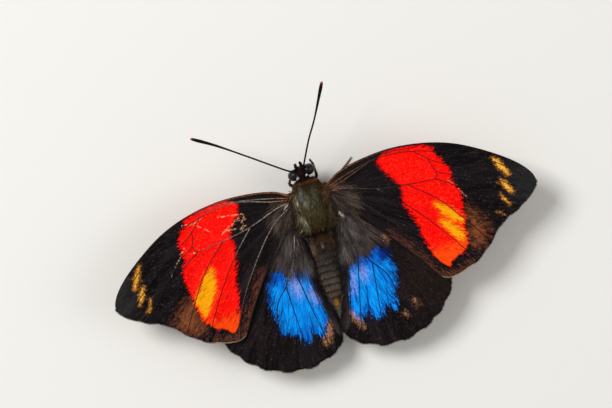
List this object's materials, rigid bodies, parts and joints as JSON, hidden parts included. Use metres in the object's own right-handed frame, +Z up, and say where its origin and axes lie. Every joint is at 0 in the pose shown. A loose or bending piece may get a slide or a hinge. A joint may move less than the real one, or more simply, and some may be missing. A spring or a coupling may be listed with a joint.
{
  "type": "agrias butterfly",
  "caption": "Still, life-size brush-footed butterfly of the agrias kind, wings spread flat, standing on its four walking legs.",
  "frame": {"origin": "on the floor the feet stand on, below the middle of the model's box", "axes": "+Z up, +Y the way the head points, +X to the animal's right along the wingspan"},
  "size_m": [0.09, 0.0556, 0.0192],
  "materials": {
    "forewing": "black scales with a scarlet band and yellow spots",
    "hindwing": "black-brown scales with an azure patch",
    "body_fur": "dense olive-brown hair",
    "abdomen_scales": "short grey-brown scales",
    "head_scales": "short black-brown scales with white dots",
    "eye": "finely faceted, near black with a purple sheen",
    "antenna": "black with an orange tip",
    "leg": "brown and tan scales",
    "palp": "short black and rust hair",
    "proboscis": "smooth amber-brown horn"
  },
  "bodies": {
    "root": {"forewing_left": "forewing", "forewing_right": "forewing", "hindwing_left": "hindwing", "hindwing_right": "hindwing", "thorax": "body_fur", "abdomen": "abdomen_scales", "head": "head_scales", "eye_left": "eye", "eye_right": "eye", "antenna_left": "antenna", "antenna_right": "antenna", "palp_left": "palp", "palp_right": "palp", "proboscis": "proboscis", "foreleg_left": "leg", "foreleg_right": "leg", "midleg_left": "leg", "midleg_right": "leg", "hindleg_left": "leg", "hindleg_right": "leg"}
  },
  "joints": []
}
